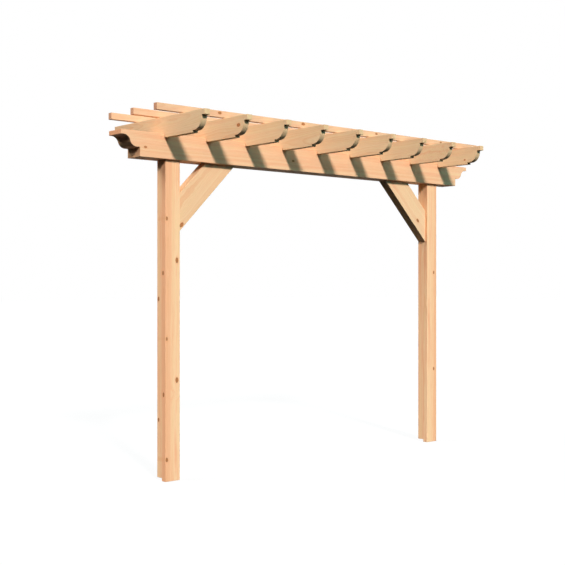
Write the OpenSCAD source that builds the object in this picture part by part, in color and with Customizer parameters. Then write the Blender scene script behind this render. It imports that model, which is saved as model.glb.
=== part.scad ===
// Wooden pergola: two posts, one beam with ogee ends, two knee braces,
// nine notched rafters and three battens. Millimetres, +Z up.
// The beam runs along X. The origin is on the flat face of the left post's foot.

/* [Posts] */
// Height from the ground to the underside of the beam
post_h = 2196; // [1800:1:3200]
// Width of a post across the front
post_w = 120; // [90:1:200]
// Depth of a post from front to back
post_d = 100; // [80:1:180]
// Clear width between the two posts
clear_w = 2564; // [1800:1:4000]
// Depth of the part of the foot that reaches the ground
foot_d = 44; // [30:1:80]
// Height of the rebate at the back of the foot
foot_rise = 21; // [5:1:40]

/* [Beam] */
// Height of the beam
beam_h = 170; // [120:1:260]
// Thickness of the beam
beam_t = 152; // [90:1:180]
// How far the beam's front stands forward of the posts
beam_proud = 26; // [0:1:30]
// How far the beam runs past each post
beam_over = 368; // [250:1:600]
// Height of the nose at each end of the beam
beam_nose_h = 31; // [15:1:60]
// Flat under the nose of the beam, before the hollow
beam_nose_flat = 18; // [5:1:80]
// Radius of the hollow on the beam ends
beam_hollow_r = 54; // [10:1:60]
// Radius of the round on the beam ends
beam_round_r = 54; // [20:1:70]
// Angle that the hollow and the round of the beam ends each turn through
beam_turn = 73; // [45:1:90]
// Flat after the round on the beam ends
beam_cusp_flat = 25; // [2:1:60]
// How far the step behind the round leans out on the beam ends
beam_undercut = 0; // [0:1:30]

/* [Rafters] */
// Thickness of a rafter
rafter_t = 45; // [30:1:80]
// Height of a rafter
rafter_h = 142; // [100:1:220]
// How far the outer rafters stand out past the outer faces of the posts
rafter_out = 28; // [0:1:250]
// How far the rafters run past the front of the posts
rafter_front = 481; // [250:1:800]
// How far the rafters run past the back of the posts
rafter_back = 500; // [250:1:900]
// Depth of the notch that drops a rafter over the beam
notch_deep = 27; // [10:1:60]
// Clearance on each side of the beam in a notch
notch_clear = 0.5; // [0.1:0.1:3]
// Height of the nose at each end of a rafter
rafter_nose_h = 37; // [15:1:60]
// Flat under the nose of a rafter, before the hollow
rafter_nose_flat = 25; // [5:1:80]
// Radius of the hollow on the rafter ends
rafter_hollow_r = 10; // [3:1:50]
// Radius of the round on the rafter ends
rafter_round_r = 81; // [20:1:90]
// Angle that the hollow and the round of the rafter ends each turn through
rafter_turn = 90; // [45:1:90]
// Flat after the round on the rafter ends
rafter_cusp_flat = 17; // [2:1:40]
// How far the step behind the round leans out on the rafter ends
rafter_undercut = 0; // [0:1:20]

/* [Battens] */
// Depth of a batten from front to back
batten_d = 38; // [25:1:80]
// Height of a batten
batten_h = 46; // [25:1:80]
// How far the battens run past the outer rafters
batten_over = 209; // [50:1:400]
// Distance from one batten to the next, centre to centre
batten_pitch = 276; // [150:1:380]

/* [Braces] */
// Length of a brace's long edge along the post and along the beam
brace_leg = 495; // [250:1:900]
// Width of a brace, square across its length
brace_w = 185; // [80:1:260]
// Thickness of a brace from front to back
brace_t = 76; // [30:1:90]
// Distance from the front of the post to the front of the brace
brace_inset = 18; // [0:1:50]

/* [Hidden] */
$fn = 96;
e = 1;
// how far the circles of a hollow and its round lap, so that they cross cleanly
ogee_lap = 0.2;
rafter_n = 9;
beam_z = post_h;
beam_top = beam_z + beam_h;
beam_y = -beam_proud;
right_x = post_w + clear_w;
beam_len = right_x + post_w + 2 * beam_over;
rafter_z = beam_top - notch_deep;
rafter_len = rafter_front + post_d + rafter_back;
rafter_pitch = (right_x + post_w + 2 * rafter_out - rafter_t) / (rafter_n - 1);
batten_z = rafter_z + rafter_h;
batten_x = -rafter_out - batten_over;
batten_mid = (post_d - batten_d) / 2;
batten_len = (rafter_n - 1) * rafter_pitch + rafter_t + 2 * batten_over;
brace_short = brace_leg - brace_w * sqrt(2);

// Moves the front left corner of the left post to its place beside the origin
module from_foot() {
  translate([-post_w / 2, -foot_d / 2, 0]) children();
}

// A length rounded to a hundredth of a millimetre
function neat(v) = round(v * 100) / 100;

// Outline of the waste sawn off one end of a board: under the nose, round the
// hollow and the round, and down the step behind them. The tip is at x = 0 and
// the top edge of the board at y = 0.
module ogee_waste(board_h, nose_h, nose_flat, hollow_r, round_r, turn, cusp_flat, undercut) {
  reach = hollow_r + round_r - ogee_lap;
  hollow_y = -nose_h - hollow_r;
  mid_y = neat(hollow_y + hollow_r * cos(turn));
  round_x = neat(nose_flat + reach * sin(turn));
  round_y = neat(hollow_y + reach * cos(turn));
  cusp_x = round_x + cusp_flat;
  cusp_y = round_y - round_r;
  lean = undercut / (board_h + cusp_y);
  difference() {
    union() {
      translate([-e, -board_h - e]) square([nose_flat + e, board_h + e - nose_h]);
      translate([nose_flat, hollow_y]) circle(r = hollow_r);
      polygon([[-e, mid_y], [-e, -board_h - e], [cusp_x - undercut - e * lean, -board_h - e],
               [cusp_x, cusp_y], [cusp_x, mid_y]]);
    }
    translate([round_x, round_y]) circle(r = round_r);
    translate([round_x, cusp_y]) square([cusp_flat + e, mid_y - cusp_y + e]);
  }
}

// Side outline of a board with an ogee at both ends
module ogee_board(len, board_h, nose_h, nose_flat, hollow_r, round_r, turn, cusp_flat, undercut) {
  difference() {
    translate([0, -board_h]) square([len, board_h]);
    ogee_waste(board_h, nose_h, nose_flat, hollow_r, round_r, turn, cusp_flat, undercut);
    translate([len, 0]) mirror([1, 0])
      ogee_waste(board_h, nose_h, nose_flat, hollow_r, round_r, turn, cusp_flat, undercut);
  }
}

// A post, square-cut at the top, with a rebate behind the front of its foot
module post(x) {
  from_foot() translate([x, 0, 0]) difference() {
    cube([post_w, post_d, post_h]);
    translate([-e, foot_d, -e]) cube([post_w + 2 * e, post_d, foot_rise + e]);
  }
}

// A rafter, counted from the left, notched over the beam
module rafter(n) {
  from_foot() translate([-rafter_out + (n - 1) * rafter_pitch, 0, 0])
    difference() {
      translate([0, -rafter_front, batten_z]) rotate([90, 0, 90])
        linear_extrude(height = rafter_t)
          ogee_board(rafter_len, rafter_h, rafter_nose_h, rafter_nose_flat, rafter_hollow_r,
                     rafter_round_r, rafter_turn, rafter_cusp_flat, rafter_undercut);
      translate([-e, beam_y - notch_clear, rafter_z - e])
        cube([rafter_t + 2 * e, beam_t + 2 * notch_clear, notch_deep + e]);
    }
}

// A square batten along the tops of the rafters, with its front face at y
module batten(y) {
  from_foot() translate([batten_x, y, batten_z])
    cube([batten_len, batten_d, batten_h]);
}

// A knee brace from the inner face of a post up to the beam.
// side is 1 for the left post and -1 for the right post.
module brace(x, side) {
  from_foot() translate([x, brace_inset + brace_t, beam_z]) rotate([90, 0, 0])
    linear_extrude(height = brace_t)
      polygon([[0, -brace_leg], [side * brace_leg, 0],
               [side * brace_short, 0], [0, -brace_short]]);
}

module left_post() color([0.93, 0.76, 0.58]) post(0);

module right_post() color([0.93, 0.76, 0.58]) post(right_x);

module beam() color([0.95, 0.78, 0.60])
  from_foot() translate([-beam_over, beam_y + beam_t, beam_top]) rotate([90, 0, 0])
    linear_extrude(height = beam_t)
      ogee_board(beam_len, beam_h, beam_nose_h, beam_nose_flat, beam_hollow_r,
                 beam_round_r, beam_turn, beam_cusp_flat, beam_undercut);

module left_brace() color([0.90, 0.73, 0.54]) brace(post_w, 1);

module right_brace() color([0.90, 0.73, 0.54]) brace(right_x, -1);

module rafter_1() color([0.94, 0.77, 0.57]) rafter(1);

module rafter_2() color([0.94, 0.77, 0.57]) rafter(2);

module rafter_3() color([0.94, 0.77, 0.57]) rafter(3);

module rafter_4() color([0.94, 0.77, 0.57]) rafter(4);

module rafter_5() color([0.94, 0.77, 0.57]) rafter(5);

module rafter_6() color([0.94, 0.77, 0.57]) rafter(6);

module rafter_7() color([0.94, 0.77, 0.57]) rafter(7);

module rafter_8() color([0.94, 0.77, 0.57]) rafter(8);

module rafter_9() color([0.94, 0.77, 0.57]) rafter(9);

module batten_front() color([0.92, 0.75, 0.55]) batten(batten_mid - batten_pitch);

module batten_middle() color([0.92, 0.75, 0.55]) batten(batten_mid);

module batten_back() color([0.92, 0.75, 0.55]) batten(batten_mid + batten_pitch);

left_post();
right_post();
beam();
left_brace();
right_brace();
rafter_1();
rafter_2();
rafter_3();
rafter_4();
rafter_5();
rafter_6();
rafter_7();
rafter_8();
rafter_9();
batten_front();
batten_middle();
batten_back();
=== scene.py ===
"""Wooden pergola: two posts, a beam with ogee ends, two knee braces, nine notched rafters
and three battens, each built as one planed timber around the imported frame."""

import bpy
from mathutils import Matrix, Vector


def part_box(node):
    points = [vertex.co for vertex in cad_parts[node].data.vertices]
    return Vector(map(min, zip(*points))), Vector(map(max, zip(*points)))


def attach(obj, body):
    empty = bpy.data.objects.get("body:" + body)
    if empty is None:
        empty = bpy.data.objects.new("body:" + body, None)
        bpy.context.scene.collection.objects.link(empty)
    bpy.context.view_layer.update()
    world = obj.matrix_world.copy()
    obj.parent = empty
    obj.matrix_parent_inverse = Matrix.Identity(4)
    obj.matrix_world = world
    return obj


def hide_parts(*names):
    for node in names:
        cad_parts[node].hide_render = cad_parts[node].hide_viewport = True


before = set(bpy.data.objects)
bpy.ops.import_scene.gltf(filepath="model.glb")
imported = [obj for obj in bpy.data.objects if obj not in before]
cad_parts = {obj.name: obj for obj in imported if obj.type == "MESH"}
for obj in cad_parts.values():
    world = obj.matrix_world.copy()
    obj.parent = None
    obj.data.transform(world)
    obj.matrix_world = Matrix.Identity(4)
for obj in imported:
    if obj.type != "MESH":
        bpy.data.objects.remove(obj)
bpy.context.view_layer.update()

import math
import random

import bpy
from bpy.props import FloatProperty, FloatVectorProperty, PointerProperty
from mathutils import Matrix, Vector

bl_info = {
    "name": "Wooden pergola",
    "version": (1, 0, 0),
    "blender": (4, 5, 0),
    "location": "3D View > Sidebar > Pergola",
    "description": "Builds a softwood pergola timber by timber, with its stage",
    "category": "Object",
}

MM = 0.001
X, Y, Z = Vector((1, 0, 0)), Vector((0, 1, 0)), Vector((0, 0, 1))
RAFTERS = [name for name in sorted(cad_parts) if name.startswith("rafter")]
BATTENS = ["batten_front", "batten_middle", "batten_back"]
BELOW_BEAM = ["left_post", "right_post", "left_brace", "right_brace"]

ARC_STEPS = 28  # straight steps in each curve of an ogee
EASE_STEPS = 3  # and across each eased edge
SHARP = math.radians(30)  # an edge that turns by more than this is eased
FLOOR_REACH = 60  # metres from the middle of the floor to each side
FLOOR_GLOW = 0.9  # share of the floor's white that no shadow darkens
SENSOR_WIDTH = 36  # millimetres
CAMERA_RISE = -0.001  # upward shift of the lens, as a share of the frame
CAMERA_PLACE = (-4.1161, -5.8879, 1.3618)
CAMERA_TURN = (math.radians(90), 0, math.radians(-41.07))
LAMP_DISTANCE = 6  # metres; a sun lamp lights alike from anywhere

# Sockets that share a name, by number: a Map Range node's limits, and a colour Mix node's
# inputs and its output.
LOW, HIGH, TO_LOW, TO_HIGH = 1, 2, 3, 4
FACTOR, UNDER, OVER, BLENDED = 0, 6, 7, 2

# A knot is cut a little slantwise, so it is longer along the timber than across it.
KNOT_LONG, KNOT_WIDE = 1.45, 0.92
# Knots of each timber in millimetres: how far along it, how far across from its middle,
# the radius, and the timber's own axis that the knot runs along.
KNOTS = {
    "left_post": [(150, -49, 9, "z"), (689, 35, 11, "z"), (973, -49, 7, "z"),
                  (1511, 35, 11, "z"), (1794, -49, 8, "z"), (416, 33, 8, "y"),
                  (592, -27, 9, "y"), (1245, 33, 9, "y"), (1422, -21, 9, "y")],
    "right_post": [(621, 26, 8, "z"), (1443, 26, 8, "z"), (1980, 22, 7, "y")],
    "beam": [(190, -19, 7, "y"), (1508, -12, 7, "y"), (900, -18, 8, "z"), (2650, 24, 10, "z")],
    "left_brace": [(58, -73, 12, "y")],
    "right_brace": [(196, 35, 11, "y")],
    "batten_front": [(514, 7, 9, "y"), (1280, 7, 10, "y"), (2046, 7, 7, "y"), (2811, 6, 7, "y"),
                     (1111, 9, 5, "y")],
    "batten_middle": [(420, -6, 8, "y"), (1610, 5, 9, "y"), (2540, -3, 7, "y")],
    "batten_back": [(760, 4, 8, "y"), (1980, -5, 9, "y"), (2905, 3, 7, "y")],
    "rafter_1": [(640, -52, 8, "y")],
    "rafter_2": [(92, 7, 11, "y"), (700, -28, 8, "y")],
    "rafter_3": [(845, -10, 9, "y")],
    "rafter_4": [(690, 35, 7, "y")],
    "rafter_5": [(760, 12, 10, "y")],
    "rafter_6": [(905, 20, 8, "y")],
    "rafter_7": [(650, -22, 9, "y")],
    "rafter_8": [(820, -24, 9, "y")],
    "rafter_9": [(160, -33, 6, "y"), (730, 26, 9, "y")],
}


def linear(hex_colour):
    """The linear RGB of an sRGB hex colour."""
    parts = [int(hex_colour[i:i + 2], 16) / 255 for i in (0, 2, 4)]
    return [p / 12.92 if p <= 0.04045 else ((p + 0.055) / 1.055) ** 2.4 for p in parts]


def per_metre(along, across):
    """Texture scale of a pattern whose marks are so many millimetres along and across."""
    return (1 / (along * MM), 1 / (across * MM), 1 / (across * MM))


def length(name, description, millimetres):
    return FloatProperty(name=name, description=description, default=millimetres * MM,
                         min=0, subtype="DISTANCE", unit="LENGTH")


def angle(name, description, degrees):
    return FloatProperty(name=name, description=description, default=math.radians(degrees),
                         subtype="ANGLE", unit="ROTATION")


def strength(name, description, default):
    return FloatProperty(name=name, description=description, default=default, min=0)


def colour(name, description, hex_colour):
    return FloatVectorProperty(name=name, description=description, default=linear(hex_colour),
                               size=3, min=0, max=1, subtype="COLOR")


class BeamEndSizes(bpy.types.PropertyGroup):
    """The ogee on the ends of the beam."""
    nose: length("Nose height", "Height of the square nose at the tip", 31)
    flat: length("Nose flat", "Flat under the nose, before the hollow", 18)
    hollow: length("Hollow radius", "Radius of the hollow", 54)
    round: length("Round radius", "Radius of the round below the hollow", 54)
    cusp: length("Cusp flat", "Flat after the round", 25)
    undercut: length("Undercut", "How far the step behind the round leans out", 0)
    turn: angle("Turn", "Angle that hollow and round each turn through", 73)


class RafterEndSizes(bpy.types.PropertyGroup):
    """The ogee on the ends of the rafters."""
    nose: length("Nose height", "Height of the square nose at the tip", 37)
    flat: length("Nose flat", "Flat under the nose, before the hollow", 25)
    hollow: length("Hollow radius", "Radius of the hollow", 10)
    round: length("Round radius", "Radius of the round below the hollow", 81)
    cusp: length("Cusp flat", "Flat after the round", 17)
    undercut: length("Undercut", "How far the step behind the round leans out", 0)
    turn: angle("Turn", "Angle that hollow and round each turn through", 90)


class TimberSizes(bpy.types.PropertyGroup):
    """Sizes that every timber shares."""
    ease: length("Eased edge", "Radius that the long edges are eased to", 2)
    notch_clear: length("Notch clearance", "Gap on each side of the beam in a notch", 0.5)
    foot_depth: length("Foot depth", "Depth of the part of a post's foot on the ground", 44)
    foot_rise: length("Foot rebate", "Height of the rebate at the back of the foot", 21)
    brace_width: length("Brace width", "Width of a brace, square across its length", 185)
    ring: length("Ring width", "Width of one growth ring", 7)


class WoodColours(bpy.types.PropertyGroup):
    """Colours of the planed pine."""
    early: colour("Earlywood", "Pale wood between the growth lines", "FED4A6")
    late: colour("Latewood", "Darker wood of the growth lines", "EEAB79")
    pink: colour("Heart streak", "Rosy streak along the grain", "F8B68B")
    gold: colour("Sap streak", "Yellow streak along the grain", "F9D39E")
    heart: colour("Heartwood", "Rosy wood around the pith", "F8B98E")
    knot: colour("Knot", "Heart of a knot", "AD7044")
    bark: colour("Knot rim", "Dark rim around a knot", "8A5230")


class StageLights(bpy.types.PropertyGroup):
    """Lamps, even light, floor and camera."""
    key: strength("Key", "Strength of the key lamp", 3.5)
    fill: strength("Fill", "Strength of the fill lamp", 2.2)
    back: strength("Back", "Strength of the lamp behind", 1.6)
    sky: strength("Sky", "Strength of the cool light from the sky in front", 1.08)
    even: strength("Even", "Strength of the even light around", 0.02)
    key_spread: angle("Key spread", "Apparent width of the key lamp", 7)
    sun_tint: colour("Key colour", "Slightly warm light of the key lamp", "FFF3F0")
    sky_tint: colour("Sky colour", "Cool light of the sky and of the even light", "A2F1FF")
    plain: colour("Plain light", "White of the other lamps and of the background", "FFFFFF")
    floor: colour("Floor bounce", "Floor as other surfaces are lit by it", "0A0A0A")
    lens: FloatProperty(name="Lens", description="Focal length of the camera", default=66.4,
                        subtype="DISTANCE_CAMERA")


class PergolaSettings(bpy.types.PropertyGroup):
    """Everything that the pergola's operators read."""
    beam_end: PointerProperty(type=BeamEndSizes)
    rafter_end: PointerProperty(type=RafterEndSizes)
    timber: PointerProperty(type=TimberSizes)
    wood: PointerProperty(type=WoodColours)
    stage: PointerProperty(type=StageLights)


def add(tree, kind, inputs=(), **settings):
    """Adds one node with its settings and its input values or links, and gives its outputs."""
    made = tree.nodes.new("ShaderNode" + kind)
    for key, value in settings.items():
        setattr(made, key, value)
    for key, value in dict(inputs).items():
        if isinstance(value, bpy.types.NodeSocket):
            tree.links.new(value, made.inputs[key])
        else:
            made.inputs[key].default_value = value
    return made.outputs


def full(rgb):
    """A colour with its alpha."""
    return (*rgb, 1)


def flowing_grain(tree, place, node, seed, figure):
    """The place in the trunk that each point is sawn from, bent as the grain bends, and the
    distance to the nearest knot as a share of that knot's size."""
    # The trunk isn't quite straight: over half a metre the rings wander by about 10 mm.
    # Where the grain is wavy, it also swings to and fro every 60 mm or so.
    swings = [(per_metre(625, 200), (seed * 3.1, seed * 1.7, seed), 35, 2)]
    if figure:
        swings.append((per_metre(62.5, 41.7), (0, 0, 0), figure, 3))
    grain = place
    for scale, start, swing, detail in swings:
        bend = add(tree, "VectorMath", {0: place, 1: scale}, operation="MULTIPLY")[0]
        bend = add(tree, "VectorMath", {0: bend, 1: start}, operation="ADD")[0]
        bend = add(tree, "TexNoise", {"Vector": bend, "Scale": 1, "Detail": detail})["Color"]
        bend = add(tree, "VectorMath", {0: bend, 1: (0.5, 0.5, 0.5)}, operation="SUBTRACT")[0]
        bend = add(tree, "VectorMath", {0: bend, 1: (0, swing * MM, swing * MM)},
                   operation="MULTIPLY")[0]
        grain = add(tree, "VectorMath", {0: grain, 1: bend}, operation="ADD")[0]

    # The grain flows around each knot: squeezed most at its rim, not at all 4.5 radii away.
    nearest = None
    for along, across, radius, axis in KNOTS[node]:
        radius *= MM
        centre = (along * MM, 0, across * MM) if axis == "y" else (along * MM, across * MM, 0)
        reach = Vector((1 / (KNOT_LONG * radius), 0, 1 / (KNOT_WIDE * radius)))
        squeeze = (0, 0, 1)
        if axis == "z":
            reach, squeeze = reach.xzy, (0, 1, 0)
        apart = add(tree, "VectorMath", {0: place, 1: centre}, operation="SUBTRACT")[0]
        scaled = add(tree, "VectorMath", {0: apart, 1: reach}, operation="MULTIPLY")[0]
        far = add(tree, "VectorMath", {0: scaled}, operation="LENGTH")["Value"]
        pull = add(tree, "MapRange", {"Value": far, LOW: 0.8, HIGH: 4.5, TO_LOW: 0.85,
                                      TO_HIGH: 0}, interpolation_type="SMOOTHSTEP")[0]
        push = add(tree, "VectorMath", {0: apart, 1: squeeze}, operation="MULTIPLY")[0]
        push = add(tree, "VectorMath", {0: push, "Scale": pull}, operation="SCALE")[0]
        grain = add(tree, "VectorMath", {0: grain, 1: push}, operation="SUBTRACT")[0]
        nearest = far if nearest is None else add(tree, "Math", {0: nearest, 1: far},
                                                  operation="MINIMUM")[0]
    return grain, nearest


def growth_rings(tree, grain, pith, tilt, ring):
    """Where each point lies about the pith, its distance from there, and how dark the growth
    line is: a pale start, a slow rise, and a sharp end at the next year."""
    about = add(tree, "Mapping", {"Vector": grain, "Rotation": (0, *tilt),
                                  "Location": (0, -pith[0] * MM, -pith[1] * MM)})[0]
    about = add(tree, "VectorMath", {0: about, 1: (0, 1, 1)}, operation="MULTIPLY")[0]
    depth = add(tree, "VectorMath", {0: about}, operation="LENGTH")["Value"]
    count = add(tree, "Math", {0: depth, 1: 1 / ring}, operation="MULTIPLY")[0]
    year = add(tree, "Math", {0: count}, operation="FRACT")[0]
    line = add(tree, "ValToRGB", {"Fac": year})["Color"]
    ramp = line.node.color_ramp
    ramp.elements[0].color = (0, 0, 0, 1)
    ramp.elements[1].position, ramp.elements[1].color = 1, (0.1, 0.1, 0.1, 1)
    for spot, level in ((0.45, 0.15), (0.8, 0.75), (0.93, 1)):
        ramp.elements.new(spot).color = (level, level, level, 1)
    return about, depth, line


def end_grain(tree, about, depth, seed):
    """Where the surface faces along the timber, and the radial checks that open there."""
    facing = add(tree, "TexCoord")["Normal"]
    cut = add(tree, "SeparateXYZ", {0: facing})["X"]
    cut = add(tree, "Math", {0: cut}, operation="ABSOLUTE")[0]
    cut = add(tree, "MapRange", {"Value": cut, LOW: 0.25, HIGH: 0.95},
              interpolation_type="SMOOTHSTEP")[0]
    # a check keeps its bearing from the pith and runs for some centimetres
    split = add(tree, "SeparateXYZ", {0: about})
    bearing = add(tree, "Math", {0: split["Z"], 1: split["Y"]}, operation="ARCTAN2")[0]
    run = add(tree, "Math", {0: depth, 1: 0.35}, operation="MULTIPLY")[0]
    spoke = add(tree, "CombineXYZ", {0: bearing, 1: run, 2: seed})[0]
    check = add(tree, "TexNoise", {"Vector": spoke, "Scale": 38, "Detail": 1})["Fac"]
    check = add(tree, "MapRange", {"Value": check, LOW: 0.30, HIGH: 0.36, TO_LOW: 1,
                                   TO_HIGH: 0})[0]
    return cut, add(tree, "Math", {0: check, 1: cut}, operation="MULTIPLY")[0]


def planed_pine(node, pith, heart, tilt, seed, tone=(1, 1, 1), end_grain_and_painted_light=(0.97, 0.93, 0.88),
                streaks=0.5, figure=0):
    """Planed pine: pale early wood and darker late wood in rings around a pith, rosy and
    yellow streaks along the grain, red-brown knots that the grain flows around, and end
    grain with fine radial checks. Planing leaves it satin, with the rings just proud.
    The texture is solid, so that faces, sawn curves and ends all cut the same rings.

    pith is where the middle of the trunk lies across the timber, heart the radius of the
    rosy heartwood and figure how far wavy grain swings, all in millimetres. tilt is how the
    trunk leans, in radians. tone and the tone on the ends are this timber's share of the
    swatches on its faces and on its ends; the tone on the ends darkens end grain a little,
    and on the rafters it is painted light, on the battens partly painted shade. streaks is
    how rosy its streaks are."""
    settings = bpy.context.scene.pergola
    wood = settings.wood
    material = bpy.data.materials.new("planed_pine_" + node)
    material.use_nodes = True
    tree = material.node_tree
    tree.nodes.clear()
    place = add(tree, "TexCoord")["Object"]
    grain, nearest = flowing_grain(tree, place, node, seed, figure)
    about, depth, line = growth_rings(tree, grain, pith, tilt, settings.timber.ring)
    cut, check = end_grain(tree, about, depth, seed)

    # good and poor years: bands of some 30 mm, coarse enough to see from across a garden
    years = add(tree, "TexNoise", {"W": depth, "Scale": 1 / (29.4 * MM), "Detail": 2,
                                   "Roughness": 0.6}, noise_dimensions="1D")["Fac"]
    years = add(tree, "MapRange", {"Value": years, LOW: 0.35, HIGH: 0.65})[0]

    # streaks run with the grain: 5 to 20 mm across and up to most of a metre long
    stretched = add(tree, "VectorMath", {0: grain, 1: per_metre(714, 23.8)},
                    operation="MULTIPLY")[0]
    stretched = add(tree, "VectorMath", {0: stretched, 1: (seed, seed * 5.3, seed * 2.9)},
                    operation="ADD")[0]
    streak = add(tree, "TexNoise", {"Vector": stretched, "Scale": 1, "Detail": 4,
                                    "Roughness": 0.72})["Fac"]
    rosy = add(tree, "MapRange", {"Value": streak, LOW: 0.48, HIGH: 0.68,
                                  TO_HIGH: streaks})[0]
    golden = add(tree, "MapRange", {"Value": streak, LOW: 0.48, HIGH: 0.30, TO_HIGH: 0.7})[0]

    # fibres: 1 mm wide and 60 mm long, drawn a little coarser than they are
    fine = add(tree, "VectorMath", {0: grain, 1: per_metre(62.5, 1.111)},
               operation="MULTIPLY")[0]
    fibre = add(tree, "TexNoise", {"Vector": fine, "Scale": 1, "Detail": 2})["Fac"]
    speck = add(tree, "MapRange", {"Value": fibre, LOW: 0.3, HIGH: 0.7, TO_LOW: 0.94,
                                   TO_HIGH: 1.04})[0]

    # late wood shows more in good years, and they are darker all through
    late = add(tree, "Math", {0: years, 1: 0.30, 2: 0.18}, operation="MULTIPLY_ADD")[0]
    late = add(tree, "Math", {0: line, 1: late}, operation="MULTIPLY")[0]
    late = add(tree, "Math", {0: years, 1: 0.22, 2: late}, operation="MULTIPLY_ADD")[0]

    # heartwood: its edge is uneven, and fades over 12 mm
    uneven = add(tree, "Math", {0: streak, 1: 0.03, 2: depth}, operation="MULTIPLY_ADD")[0]
    core = add(tree, "MapRange", {"Value": uneven, LOW: (heart + 20) * MM,
                                  HIGH: (heart + 8) * MM, TO_HIGH: 0.8},
               interpolation_type="SMOOTHSTEP")[0]

    # knots: pith, red-brown heart with its own rings, dark ragged rim, and a warm halo
    wobble = add(tree, "TexNoise", {"Vector": place, "Scale": 1 / (11.11 * MM),
                                    "Detail": 2})["Fac"]
    wobble = add(tree, "MapRange", {"Value": wobble, TO_LOW: -0.25, TO_HIGH: 0.25})[0]
    ragged = add(tree, "Math", {0: nearest, 1: wobble}, operation="ADD")[0]
    halo = add(tree, "MapRange", {"Value": ragged, LOW: 2.2, HIGH: 1.0, TO_HIGH: 0.55},
               interpolation_type="SMOOTHSTEP")[0]
    inward = add(tree, "Math", {0: ragged, 1: 0.8}, operation="MULTIPLY")[0]
    inside = add(tree, "ValToRGB", {"Fac": inward})
    ramp = inside["Color"].node.color_ramp
    ramp.elements[0].color = full(wood.bark)
    ramp.elements[1].position, ramp.elements[1].color = 0.98, (*wood.bark, 0)
    for spot, rgb in ((0.10, wood.knot), (0.42, [c * 1.25 for c in wood.knot]),
                      (0.66, wood.knot), (0.80, wood.bark)):
        ramp.elements.new(spot).color = full(rgb)
    open_check = add(tree, "Math", {0: check, 1: 0.55}, operation="MULTIPLY")[0]

    # the colours, laid over each other from the bare early wood up
    tint = full(wood.early)
    for share, over, blend in ((golden, full(wood.gold), "MIX"),
                               (rosy, full(wood.pink), "MIX"),
                               (core, full(wood.heart), "MIX"),
                               (late, full(wood.late), "MIX"),
                               (1, speck, "MULTIPLY"),
                               (1, full(tone), "MULTIPLY"),
                               (halo, full(wood.late), "MIX"),
                               (inside["Alpha"], inside["Color"], "MIX"),
                               # the ends' tone: end grain a little darker, painted light on the
                               # rafters' ends and partly painted shade on the battens' ends
                               (cut, full(end_grain_and_painted_light), "MULTIPLY"),
                               (open_check, full(wood.bark), "MIX")):
        tint = add(tree, "Mix", {FACTOR: share, UNDER: tint, OVER: over}, data_type="RGBA",
                   blend_type=blend)[BLENDED]

    # relief: late wood stands a little proud, fibres are felt, checks are open
    height = add(tree, "Math", {0: line, 1: 0.5}, operation="MULTIPLY")[0]
    height = add(tree, "Math", {0: fibre, 1: 0.5, 2: height}, operation="MULTIPLY_ADD")[0]
    height = add(tree, "Math", {0: check, 1: -2.0, 2: height}, operation="MULTIPLY_ADD")[0]
    relief = add(tree, "Bump", {"Strength": 0.5, "Distance": 0.6 * MM, "Height": height})[0]
    # late wood is a little glossier, and sawn ends are rougher
    rough = add(tree, "MapRange", {"Value": line, TO_LOW: 0.74, TO_HIGH: 0.64})[0]
    rough = add(tree, "Math", {0: cut, 1: 0.2, 2: rough}, operation="MULTIPLY_ADD")[0]
    skin = add(tree, "BsdfPrincipled", {"Base Color": tint, "Roughness": rough,
                                        "Normal": relief, "IOR": 1.5,
                                        "Specular IOR Level": 0.15})[0]
    add(tree, "OutputMaterial", {"Surface": skin})
    return material


def end_profile(sizes, board_height):
    """Points down one end of a board, from its top corner to its lower edge: the nose, the
    hollow, the round and the step behind them. x is in from the tip, z down from the top."""
    turns = [sizes.turn * i / ARC_STEPS for i in range(ARC_STEPS + 1)]
    hollow = Vector((sizes.flat, -sizes.nose - sizes.hollow))
    reach = sizes.hollow + sizes.round
    centre = hollow + reach * Vector((math.sin(sizes.turn), math.cos(sizes.turn)))
    points = [Vector((0, 0)), Vector((0, -sizes.nose))]
    points += [hollow + sizes.hollow * Vector((math.sin(t), math.cos(t))) for t in turns]
    points += [centre - sizes.round * Vector((math.sin(t), math.cos(t))) for t in turns[-2::-1]]
    cusp = centre + Vector((sizes.cusp, -sizes.round))
    points += [cusp, Vector((cusp.x - sizes.undercut, -board_height))]
    return points


def both_ends(ends, board_length, board_height, notch=()):
    """The whole outline of a board with the same end profile at both ends."""
    down = end_profile(ends, board_height)
    up = [Vector((board_length - p.x, p.y)) for p in reversed(down)]
    return down + [Vector(p) for p in notch] + up


def timber(node, outline, origin, along, side, thick, material, slot):
    """Builds one timber: an outline in its own x and z, with z measured from its middle,
    made thick along its own y, its edges eased. It takes the CAD node's place."""
    mesh = bpy.data.meshes.new(node + "_timber")
    half, count = thick / 2, len(outline)
    corners = [(x, y, z) for y in (-half, half) for x, z in outline]
    faces = [list(range(count)), list(range(2 * count - 1, count - 1, -1))]
    faces += [[(i + 1) % count, i, i + count, (i + 1) % count + count] for i in range(count)]
    mesh.from_pydata(corners, [], faces)
    mesh.validate()
    mesh.shade_smooth()
    mesh.materials.append(material)
    piece = bpy.data.objects.new(node + "_timber", mesh)
    bpy.context.scene.collection.objects.link(piece)
    up = along.cross(side)
    turned = Matrix((along, side, up)).transposed().to_4x4()
    piece.matrix_world = Matrix.Translation(origin) @ turned
    eased = piece.modifiers.new("Eased edges", "BEVEL")
    eased.width = bpy.context.scene.pergola.timber.ease
    eased.segments = EASE_STEPS
    eased.limit_method = "ANGLE"
    eased.angle_limit = SHARP
    eased.harden_normals = True
    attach(piece, "root")
    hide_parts(node)


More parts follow.
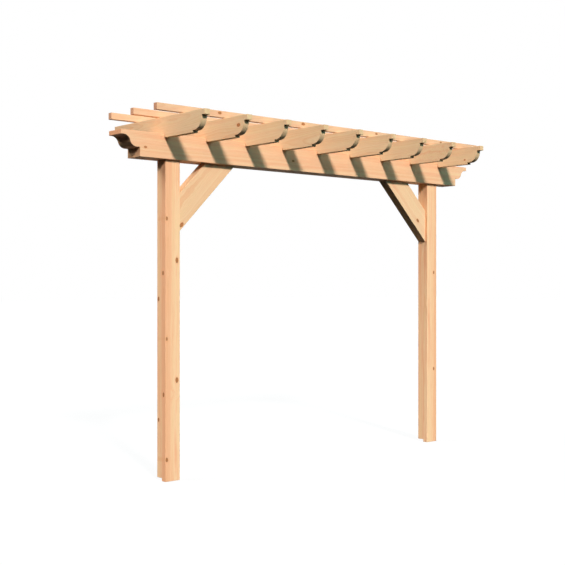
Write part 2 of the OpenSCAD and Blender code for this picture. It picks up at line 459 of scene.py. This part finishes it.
class PERGOLA_OT_posts(bpy.types.Operator):
    """Build the two posts, with the rebate behind each foot"""
    bl_idname = "pergola.posts"
    bl_label = "Build posts"

    def execute(self, context):
        sizes = context.scene.pergola.timber
        looks = {"left_post": dict(pith=(-52, -40), heart=34, seed=1.3),
                 "right_post": dict(pith=(44, -36), heart=32, seed=4.7)}
        for node, look in looks.items():
            low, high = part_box(node)
            wide, deep, tall = high - low
            front = -deep / 2
            outline = [(0, front), (0, front + sizes.foot_depth),
                       (sizes.foot_rise, front + sizes.foot_depth),
                       (sizes.foot_rise, deep / 2), (tall, deep / 2), (tall, front)]
            middle = (low + high) / 2
            origin = Vector((middle.x, middle.y, low.z))
            material = planed_pine(node, tilt=(0.004, -0.006), tone=(1.0, 1.01, 1.01),
                                   streaks=1.0, **look)
            timber(node, outline, origin, Z, X, wide, material, "posts")
        return {"FINISHED"}


class PERGOLA_OT_beam(bpy.types.Operator):
    """Build the beam, with an ogee at both ends"""
    bl_idname = "pergola.beam"
    bl_label = "Build beam"

    def execute(self, context):
        low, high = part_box("beam")
        long, deep, tall = high - low
        outline = [(p.x, p.y + tall / 2)
                   for p in both_ends(context.scene.pergola.beam_end, long, tall)]
        origin = Vector((low.x, (low.y + high.y) / 2, (low.z + high.z) / 2))
        material = planed_pine("beam", pith=(25, 150), heart=120, tilt=(0.004, 0.006),
                               seed=2.4, tone=(0.94, 0.93, 0.95))
        timber("beam", outline, origin, X, Y, deep, material, "beam")
        return {"FINISHED"}


class PERGOLA_OT_braces(bpy.types.Operator):
    """Build the two knee braces"""
    bl_idname = "pergola.braces"
    bl_label = "Build braces"

    def execute(self, context):
        width = context.scene.pergola.timber.brace_width
        looks = {"left_brace": dict(seed=6.2, tone=(0.90, 0.91, 0.91)),
                 "right_brace": dict(seed=8.8, tone=(0.92, 0.97, 0.99))}
        for node, look in looks.items():
            low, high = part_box(node)
            leg = high.z - low.z
            short = leg - width * math.sqrt(2)
            sign = 1 if node == "left_brace" else -1
            corner_x = low.x if sign > 0 else high.x
            middle_y = (low.y + high.y) / 2
            along = Vector((sign, 0, 1)).normalized()
            up = along.cross(Y)
            foot = Vector((corner_x, middle_y, low.z))
            origin = foot + up * (sign * width / 2)
            outline = []
            for x, z in ((0, -leg), (leg, 0), (short, 0), (0, -short)):
                offset = Vector((corner_x + sign * x, middle_y, high.z + z)) - origin
                outline.append((offset.dot(along), offset.dot(up)))
            material = planed_pine(node, pith=(-90, 40), heart=60, tilt=(0.01, 0.02),
                                   streaks=0.25, figure=12, **look)
            timber(node, outline, origin, along, Y, high.y - low.y, material, "braces")
        return {"FINISHED"}


class PERGOLA_OT_rafters(bpy.types.Operator):
    """Build the rafters, with an ogee at both ends and a notch over the beam"""
    bl_idname = "pergola.rafters"
    bl_label = "Build rafters"

    def execute(self, context):
        settings = context.scene.pergola
        beam_low, beam_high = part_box("beam")
        gap = settings.timber.notch_clear
        draw = random.Random(31)
        for node in RAFTERS:
            low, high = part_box(node)
            wide, long, tall = high - low
            start, stop = beam_low.y - gap - low.y, beam_high.y + gap - low.y
            deep = beam_high.z - low.z
            notch = [(start, -tall), (start, deep - tall), (stop, deep - tall), (stop, -tall)]
            outline = [(p.x, p.y + tall / 2)
                       for p in both_ends(settings.rafter_end, long, tall, notch)]
            origin = Vector(((low.x + high.x) / 2, low.y, (low.z + high.z) / 2))
            pith = (draw.uniform(50, 130) * draw.choice((-1, 1)), draw.uniform(-90, 90))
            tilt = (draw.uniform(-0.02, 0.02), draw.uniform(-0.03, 0.03))
            level = draw.uniform(0.95, 1.0)
            # rafter_8 is the one with rosy streaks and wavy grain
            streaks, figure = (1.0, 60) if node == "rafter_8" else (0.35, 0)
            # the rafters' ends are made lighter than their faces: painted light
            material = planed_pine(node, pith, heart=30, tilt=tilt, seed=draw.uniform(1, 30),
                                   tone=(0.82 * level, 0.91 * level, 0.93 * level),
                                   end_grain_and_painted_light=(1.05, 1.04, 1.0), streaks=streaks,
                                   figure=figure)
            timber(node, outline, origin, Y, -X, wide, material, "rafters")
        return {"FINISHED"}


class PERGOLA_OT_battens(bpy.types.Operator):
    """Build the three battens along the tops of the rafters"""
    bl_idname = "pergola.battens"
    bl_label = "Build battens"

    def execute(self, context):
        draw = random.Random(57)
        for node in BATTENS:
            low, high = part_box(node)
            long, deep, tall = high - low
            outline = [(0, tall / 2), (0, -tall / 2), (long, -tall / 2), (long, tall / 2)]
            origin = Vector((low.x, (low.y + high.y) / 2, (low.z + high.z) / 2))
            pith = (draw.uniform(40, 80), draw.uniform(-50, 50))
            # the battens' ends are made much darker than their faces: end grain, and partly
            # painted shade
            material = planed_pine(node, pith, heart=35, tilt=(0.01, -0.02),
                                   seed=draw.uniform(1, 30), tone=(0.89, 0.86, 0.89),
                                   end_grain_and_painted_light=(0.80, 0.73, 0.74))
            timber(node, outline, origin, X, Y, deep, material, "battens")
        return {"FINISHED"}


def seen_directly(tree):
    """1 for what the camera sees, directly or by gloss or glass, and 0 for bounced light."""
    path = add(tree, "LightPath")
    seen = add(tree, "Math", {0: path["Is Camera Ray"], 1: path["Is Glossy Ray"]},
               operation="MAXIMUM")[0]
    return add(tree, "Math", {0: seen, 1: path["Is Transmission Ray"]}, operation="MAXIMUM")[0]


class PERGOLA_OT_stage(bpy.types.Operator):
    """Build the pale floor, the lamps, the even light around and the camera"""
    bl_idname = "pergola.stage"
    bl_label = "Build stage"

    def execute(self, context):
        scene = context.scene
        levels = scene.pergola.stage
        mesh = bpy.data.meshes.new("floor")
        corners = [(FLOOR_REACH * x, FLOOR_REACH * y, 0)
                   for x, y in ((-1, -1), (1, -1), (1, 1), (-1, 1))]
        mesh.from_pydata(corners, [], [(0, 1, 2, 3)])
        floor = bpy.data.objects.new("floor", mesh)
        scene.collection.objects.link(floor)
        # painted studio floor: matt, seen white with a faint shadow, and throwing hardly any
        # light back up, so that undersides stay dark
        paint = bpy.data.materials.new("matt_studio_floor_paint")
        paint.use_nodes = True
        tree = paint.node_tree
        tree.nodes.clear()
        seen = seen_directly(tree)
        coat = add(tree, "Mix", {FACTOR: seen, UNDER: full(levels.floor),
                                 OVER: full(levels.plain)}, data_type="RGBA")[BLENDED]
        matt = add(tree, "BsdfDiffuse", {"Color": coat})[0]
        white = add(tree, "Emission", {"Strength": 1.0})[0]
        share = add(tree, "Math", {0: seen, 1: FLOOR_GLOW}, operation="MULTIPLY")[0]
        both = add(tree, "MixShader", {0: share, 1: matt, 2: white})[0]
        add(tree, "OutputMaterial", {"Surface": both})
        mesh.materials.append(paint)

        world = bpy.data.worlds.new("even_light")
        scene.world = world
        world.use_nodes = True
        tree = world.node_tree
        tree.nodes.clear()
        even = add(tree, "Background", {"Color": full(levels.sky_tint),
                                        "Strength": levels.even})[0]
        white = add(tree, "Background", {"Color": full(levels.plain), "Strength": 1.0})[0]
        both = add(tree, "MixShader", {0: seen_directly(tree), 1: even, 2: white})[0]
        add(tree, "OutputWorld", {"Surface": both})

        # the battens let key and fill pass, so the faces of the rafters stay clear; the posts
        # and braces have a key of their own that the rafters let pass as well
        battens, rafters, below = [[bpy.data.objects[node + "_timber"] for node in nodes]
                                   for nodes in (BATTENS, RAFTERS, BELOW_BEAM)]
        the_rest = [floor, bpy.data.objects["beam_timber"], *battens, *rafters]
        key_way = (0.305, 0.797, -0.522)
        # each lamp's name, the way its light goes, its strength, spread and colour, the pieces
        # that it doesn't light, and the pieces that it shines through
        lamps = (("key", key_way, levels.key, levels.key_spread, levels.sun_tint, below,
                  battens),
                 ("key_below", key_way, levels.key, levels.key_spread, levels.sun_tint,
                  the_rest, battens + rafters),
                 ("fill", (0.60, -0.42, -0.68), levels.fill, math.radians(35), levels.plain,
                  [], battens),
                 ("back", (-0.68, -0.68, -0.28), levels.back, math.radians(45), levels.plain,
                  [], []),
                 ("sky", (-0.25, 0.82, -0.52), levels.sky, math.radians(60), levels.sky_tint,
                  [], []))
        for name, way, power, spread, tint, unlit, passed in lamps:
            lamp = bpy.data.lights.new(name, "SUN")
            lamp.energy = power
            lamp.angle = spread
            lamp.color = tint
            holder = bpy.data.objects.new(name, lamp)
            holder.rotation_euler = Vector(way).to_track_quat("-Z", "Y").to_euler()
            holder.location = Vector(way) * -LAMP_DISTANCE
            scene.collection.objects.link(holder)
            for role, pieces in (("receiver", unlit), ("blocker", passed)):
                if pieces:
                    left_out = bpy.data.collections.new(name + "_not_" + role)
                    for piece in pieces:
                        left_out.objects.link(piece)
                    for held in left_out.collection_objects:
                        held.light_linking.link_state = "EXCLUDE"
                    setattr(holder.light_linking, role + "_collection", left_out)

        lens = bpy.data.cameras.new("camera")
        lens.lens = levels.lens
        lens.sensor_width = SENSOR_WIDTH
        lens.shift_y = CAMERA_RISE
        camera = bpy.data.objects.new("camera", lens)
        camera.location = CAMERA_PLACE
        camera.rotation_euler = CAMERA_TURN
        scene.collection.objects.link(camera)
        scene.camera = camera
        scene.view_settings.view_transform = "Standard"
        return {"FINISHED"}


class PERGOLA_PT_sidebar(bpy.types.Panel):
    """Lists the pergola's sizes, colours and operators"""
    bl_idname = "PERGOLA_PT_sidebar"
    bl_label = "Pergola"
    bl_space_type = "VIEW_3D"
    bl_region_type = "UI"
    bl_category = "Pergola"

    def draw(self, context):
        settings = context.scene.pergola
        for group in ("beam_end", "rafter_end", "timber", "wood", "stage"):
            box = self.layout.box()
            box.label(text=group.replace("_", " ").capitalize())
            values = getattr(settings, group)
            for name in values.__annotations__:
                box.prop(values, name)
        for operator in OPERATORS:
            self.layout.operator(operator.bl_idname)


OPERATORS = (PERGOLA_OT_posts, PERGOLA_OT_beam, PERGOLA_OT_braces, PERGOLA_OT_rafters,
             PERGOLA_OT_battens, PERGOLA_OT_stage)
CLASSES = (BeamEndSizes, RafterEndSizes, TimberSizes, WoodColours, StageLights, PergolaSettings,
           *OPERATORS, PERGOLA_PT_sidebar)


def register():
    for cls in CLASSES:
        bpy.utils.register_class(cls)
    bpy.types.Scene.pergola = PointerProperty(type=PergolaSettings)


def unregister():
    del bpy.types.Scene.pergola
    for cls in reversed(CLASSES):
        bpy.utils.unregister_class(cls)


def main():
    register()
    bpy.ops.pergola.posts()
    bpy.ops.pergola.beam()
    bpy.ops.pergola.braces()
    bpy.ops.pergola.rafters()
    bpy.ops.pergola.battens()
    bpy.ops.pergola.stage()


if __name__ == "__main__":
    main()
